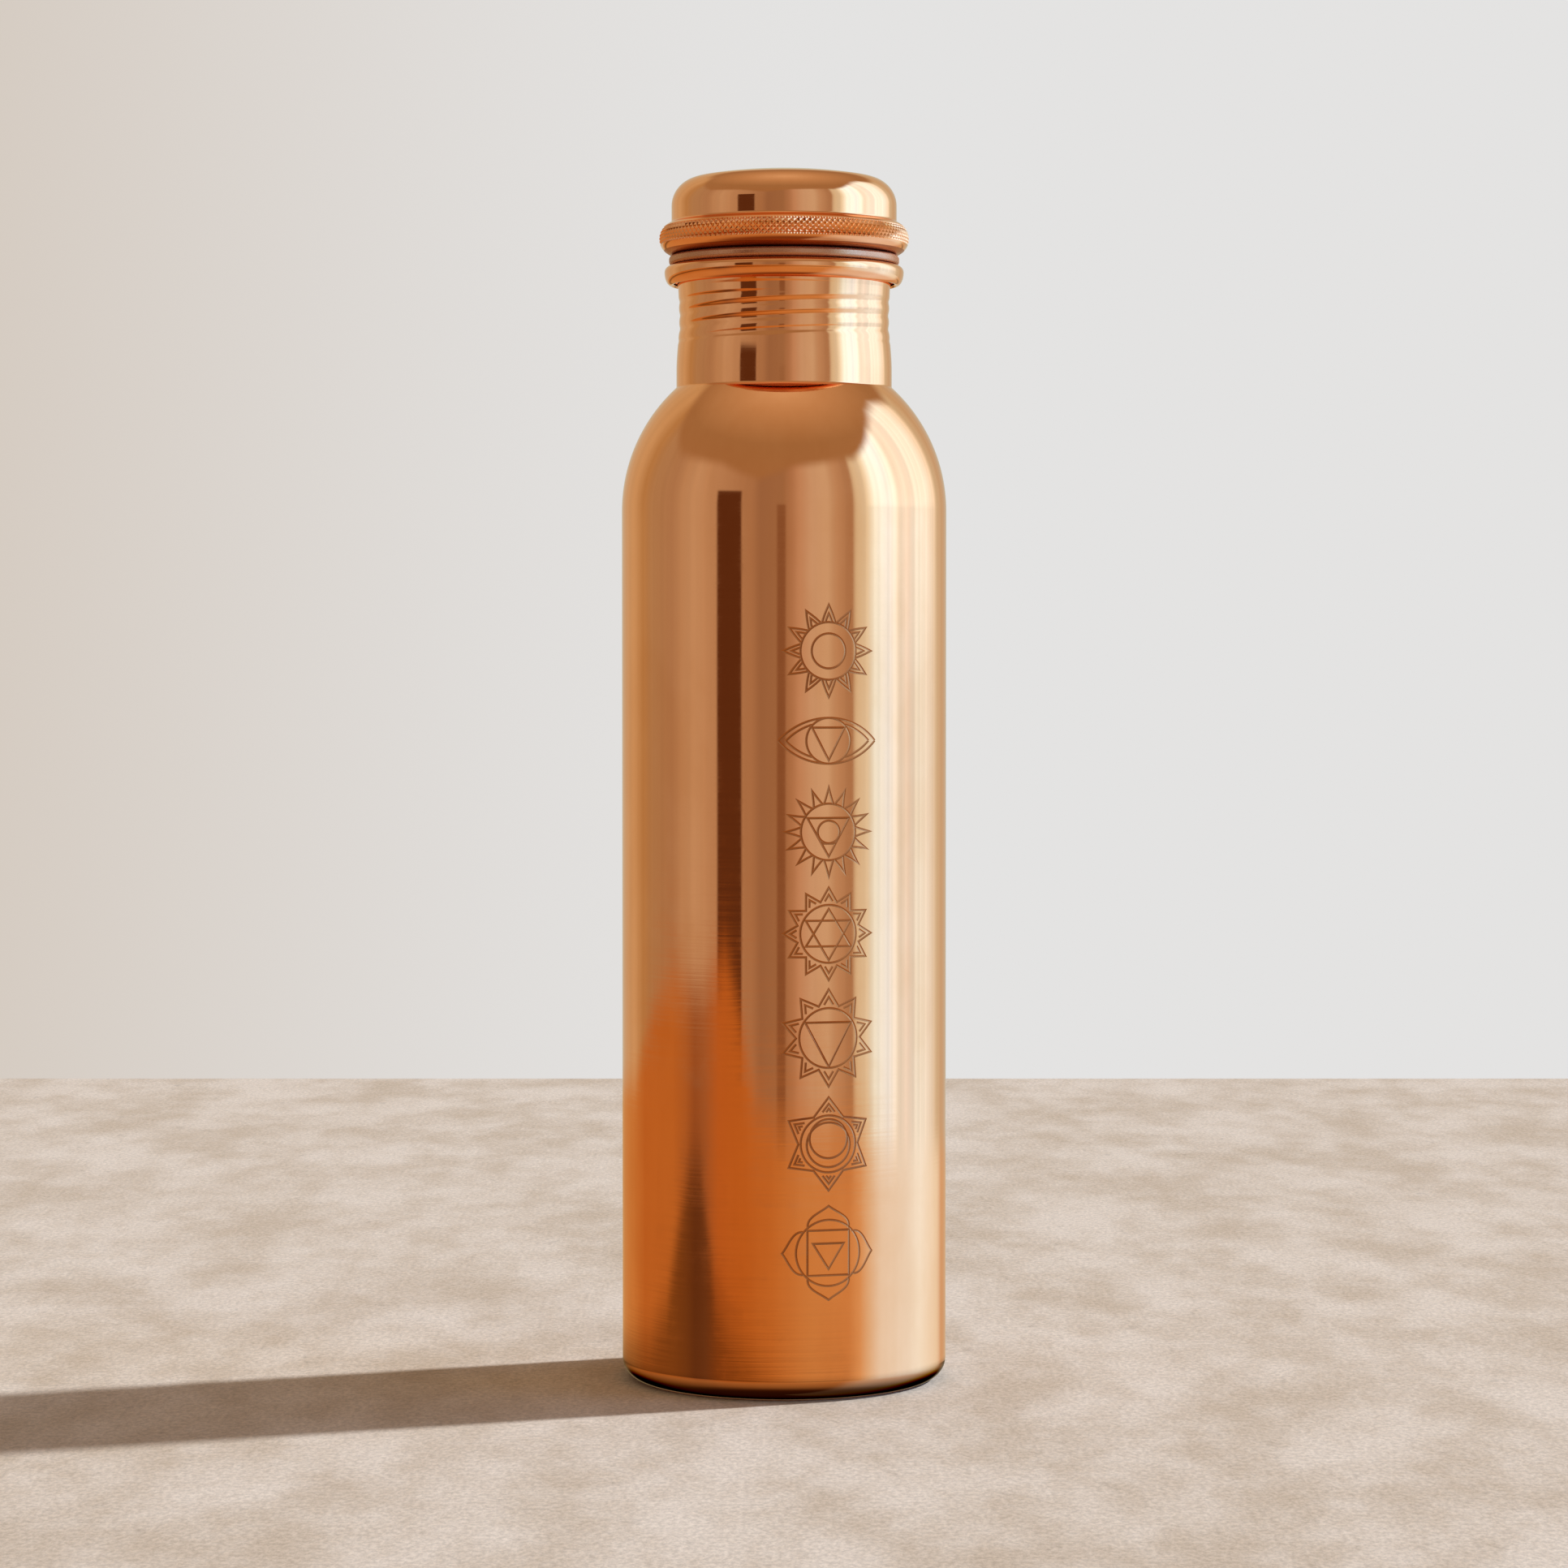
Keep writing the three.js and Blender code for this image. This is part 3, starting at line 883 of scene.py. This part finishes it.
CEILING = [  # height in degrees, and the light from there
    (20, (0.38, 0.29, 0.20)), (45, (0.38, 0.31, 0.22)), (70, (0.56, 0.48, 0.38)),
    (90, (0.72, 0.68, 0.62)),
]
DOORWAY = (-48, -30, 12)  # from, to and the top of a dark doorway
POST = (-5, 1, 3)  # the same of a post
DARK = (0.11, 0.05, 0.025)
SHADED = (0.26, 0.17, 0.12)
WINDOW = (61, 136)
WINDOW_BOOST = 0.3
CURTAIN = (55, 140)
CURTAIN_FOLDS = 0.07
FAINT_FOLDS = 0.03  # how uneven the light is away from the curtain
FOLDS_PER_DEGREE = 0.16
AMBIENT = (0.385, 0.275, 0.18)  # the even light, and the wall's colours on either side: darker on the left and lighter on the right, as painted sunlight on the wall
WALL_LEFT = (0.63, 0.54, 0.455)
WALL_RIGHT = (0.775, 0.768, 0.761)


def ramp(tree, value, stops):
    """A colour ramp with linear steps between its stops."""
    node = add(tree, "ShaderNodeValToRGB", {0: value})
    elements = node.color_ramp.elements
    while len(elements) < len(stops):
        elements.new(0.5)
    for element, (place, colour) in zip(elements, stops):
        element.position = place
        element.color = (*colour, 1)
    return node.outputs[0]


def dimmed(colour):
    """A colour as a share of LIGHT_SCALE."""
    return [c / LIGHT_SCALE for c in colour]


def round_ramp(tree, turn, stops):
    """Colours by direction, as a share of LIGHT_SCALE."""
    return ramp(tree, turn, [((a + 180) / 360, dimmed(colour)) for a, colour in stops])


def round_edge(tree, turn, stops):
    """Heights in degrees by direction, given back as degrees."""
    lowest, span = -10, 60
    heights = ramp(tree, turn, [((a + 180) / 360, [(h - lowest) / span] * 3) for a, h in stops])
    return calculate(tree, "SUBTRACT", product(tree, heights, span), -lowest)


def linear(tree, value, low, high, to_low=0.0, to_high=1.0):
    """As spread, along a straight line."""
    inputs = {"Value": value, "From Min": low, "From Max": high, "To Min": to_low, "To Max": to_high}
    return add(tree, "ShaderNodeMapRange", inputs).outputs[0]


def above(tree, value, edge, soft):
    """0 below an edge and 1 above it, softened over twice soft."""
    return spread(tree, calculate(tree, "SUBTRACT", value, edge), -soft, soft)


def between(tree, value, low, high, soft):
    """1 between two edges and 0 outside them, softened over twice soft."""
    over = spread(tree, value, low - soft, low + soft)
    return calculate(tree, "SUBTRACT", over, spread(tree, value, high - soft, high + soft))


def line_of_sight(tree):
    """Where a ray points: its turn about the bottle from 0 to 1 and in degrees, its height in
    degrees, and how far it points across the view."""
    direction = add(tree, "ShaderNodeTexCoord").outputs["Generated"]
    parts = add(tree, "ShaderNodeSeparateXYZ", {0: direction}).outputs

    def along(v):
        return total(tree, product(tree, parts[0], v.x), product(tree, parts[1], v.y))

    around = calculate(tree, "ARCTAN2", along(ACROSS), along(-AWAY))
    return SimpleNamespace(
        turn=linear(tree, around, -math.pi, math.pi),
        degrees=calculate(tree, "DEGREES", around),
        height=calculate(tree, "DEGREES", calculate(tree, "ARCSINE", parts[2])),
        across=along(ACROSS),
    )


def wall_light(tree, sight):
    """The light of the walls, with a doorway, a post, a window and the folds of its curtain."""
    walls = round_ramp(tree, sight.turn, WALLS)
    for (low, high, top), colour in ((DOORWAY, DARK), (POST, SHADED)):
        inside = between(tree, sight.degrees, low, high, soft=1)
        under = rest_of(tree, above(tree, sight.height, top, soft=1))
        walls = mix_colour(tree, product(tree, inside, under), walls, dimmed(colour))
    inside = between(tree, sight.degrees, *WINDOW, soft=3)
    window = product(tree, inside, above(tree, sight.height, 1.5, soft=3))
    walls = scaled(tree, walls, total(tree, 1.0, product(tree, window, WINDOW_BOOST)))
    inputs = {"W": sight.degrees, "Scale": FOLDS_PER_DEGREE, "Detail": 2.0}
    folds = add(tree, "ShaderNodeTexNoise", inputs, noise_dimensions="1D").outputs[0]
    curtain = between(tree, sight.degrees, *CURTAIN, soft=4)
    amount = total(tree, FAINT_FOLDS, product(tree, curtain, CURTAIN_FOLDS))
    fold = product(tree, linear(tree, folds, 0.3, 0.7, -1, 1), amount)
    return scaled(tree, walls, total(tree, 1.0, fold))


def floor_light(tree, sight):
    """The light of the floor, with the shade on it, and its colours by the bottle and under it."""
    floor = round_ramp(tree, sight.turn, GROUND)
    lit = between(tree, sight.degrees, *LIT_SIDE, soft=10)
    shade = above(tree, round_edge(tree, sight.turn, SHADE_EDGE), sight.height, soft=0.45)
    shade = product(tree, shade, above(tree, sight.height, SHADE_LOW, soft=2))
    shade = product(tree, shade, product(tree, rest_of(tree, lit), SHADE_DEPTH))
    floor = scaled(tree, floor, rest_of(tree, shade))
    steps = ((STEEP, STEEP_SHARE, NEAR_FLOOR, LIT_FLOOR), (UNDER, 1.0, DEEP, LIT_DEEP))
    for (high, low), most, plain, bright in steps:
        share = spread(tree, sight.height, low, high, most, 0.0)
        floor = mix_colour(tree, share, floor, mix_colour(tree, lit, dimmed(plain), dimmed(bright)))
    return floor


def room_light(tree, sight):
    """What the copper reflects: the walls, with the ceiling above them and the floor below."""
    stops = [(height / 90, dimmed(colour)) for height, colour in CEILING]
    ceiling = ramp(tree, linear(tree, sight.height, 0, 90), stops)
    over = above(tree, sight.height, round_edge(tree, sight.turn, CEILING_EDGE), soft=4)
    room = mix_colour(tree, over, wall_light(tree, sight), ceiling)
    over = above(tree, sight.height, round_edge(tree, sight.turn, GROUND_EDGE), soft=0.35)
    return mix_colour(tree, over, floor_light(tree, sight), room)


def background(tree, colour, strength=1.0):
    return add(tree, "ShaderNodeBackground", {"Color": colour, "Strength": strength}).outputs[0]


def chosen(tree, share, a, b):
    """The first of two lights where a share is 0, and the second where it is 1."""
    return add(tree, "ShaderNodeMixShader", {0: share, 1: a, 2: b}).outputs[0]


def make_world(scene):
    """A soft studio: what the copper reflects by direction, an even light for everything else,
    and a pale wall behind with painted sunlight, lighter to the right."""
    scene.world = bpy.data.worlds.new("studio")
    tree = new_tree(scene.world)
    sight = line_of_sight(tree)
    studio = background(tree, room_light(tree, sight), LIGHT_SCALE)
    even = background(tree, (*AMBIENT, 1))
    # Painted light on the backdrop: the wall goes from darker on the left to lighter on the right.
    side = spread(tree, sight.across, -0.28, 0.02)
    wall = background(tree, mix_colour(tree, side, WALL_LEFT, WALL_RIGHT))
    path = add(tree, "ShaderNodeLightPath").outputs
    unseen = chosen(tree, path["Is Diffuse Ray"], studio, even)
    light = chosen(tree, path["Is Camera Ray"], unseen, wall)
    add(tree, "ShaderNodeOutputWorld", {"Surface": light})


def make_sun(scene):
    lamp = bpy.data.lights.new("sun", "SUN")
    lamp.energy = SUN_ENERGY
    lamp.angle = SUN_WIDTH
    lamp.color = SUN_COLOUR
    sun = bpy.data.objects.new("sun", lamp)
    towards = SUN_WAY * math.cos(SUN_HEIGHT) + Vector((0, 0, math.sin(SUN_HEIGHT)))
    sun.rotation_euler = towards.to_track_quat("Z", "Y").to_euler()
    sun.visible_glossy = False
    scene.collection.objects.link(sun)


def make_floor():
    """A stone slab, square to the camera."""
    corners = []
    for z in (-FLOOR_DEPTH, 0):
        for across, away in ((-1, -FLOOR_FRONT), (1, -FLOOR_FRONT), (1, FLOOR_BACK), (-1, FLOOR_BACK)):
            corners.append((FLOOR_SIDE * across, away, z))
    faces = [(3, 2, 1, 0), (4, 5, 6, 7), (0, 1, 5, 4), (1, 2, 6, 5), (2, 3, 7, 6), (3, 0, 4, 7)]
    mesh = bpy.data.meshes.new("floor")
    mesh.from_pydata(corners, [], faces)
    mesh.materials.append(stone("floor_stone"))
    floor = bpy.data.objects.new("floor", mesh)
    floor.rotation_euler.z = CAMERA_TURN
    floor.visible_glossy = False
    bpy.context.scene.collection.objects.link(floor)


def make_camera(scene):
    lens = bpy.data.cameras.new("camera")
    lens.lens = LENS
    lens.sensor_width = SENSOR
    camera = bpy.data.objects.new("camera", lens)
    camera.location = CAMERA_PLACE
    camera.rotation_euler = (CAMERA_TILT, 0, CAMERA_TURN)
    scene.collection.objects.link(camera)
    scene.camera = camera


# ---- The bottle ------------------------------------------------------------------------------------
CLEAN = (0.955, 0.425, 0.175)
DULL = (0.88, 0.36, 0.13)
MIRROR = {"smooth_at": 0.04, "rough_at": 0.11, "brushing": 0.06}
ENGRAVED = {"smooth_at": 0.25, "rough_at": 0.4, "brushing": 0.3}
SATIN = {"smooth_at": 0.2, "rough_at": 0.38, "brushing": 0.5}
HEM = {"smooth_at": 0.2, "rough_at": 0.4, "brushing": 0.4}
# foot=0.1: the body's bottom edge takes a painted contact shade.
body = copper("body_copper", CLEAN, DULL, **MIRROR, foot=0.1)
polished = copper("polished_copper", CLEAN, DULL, **MIRROR)
engraved = copper("engraved_copper", (0.50, 0.185, 0.06), (0.36, 0.12, 0.045), **ENGRAVED)
satin = copper("satin_copper", (0.88, 0.38, 0.16), (0.66, 0.25, 0.11), **SATIN)
# The hem's dark colours are painted shade under the cap's bead.
hem = copper("hem_painted_shade_copper", (0.45, 0.13, 0.04), (0.30, 0.08, 0.03), **HEM)
rubber = silicone("silicone")

PIECES = [
    (make_shell(body, engraved, satin), "bottle", "bottle_body", "body_copper"),
    (make_base(satin), "bottle", "base_cup", "base_copper"),
    (make_dome(polished, satin, hem), "cap", "cap_dome", "cap_copper"),
    (make_plug(satin), "cap", "cap_plug", "plug_copper"),
    (make_gasket(rubber), "cap_seal", "cap_gasket", "silicone"),
]
for piece, rides_on, node, slot in PIECES:
    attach(piece, rides_on)
    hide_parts(node)

scene = bpy.context.scene
scene.view_settings.view_transform = "Standard"
make_world(scene)
make_sun(scene)
make_floor()
make_camera(scene)
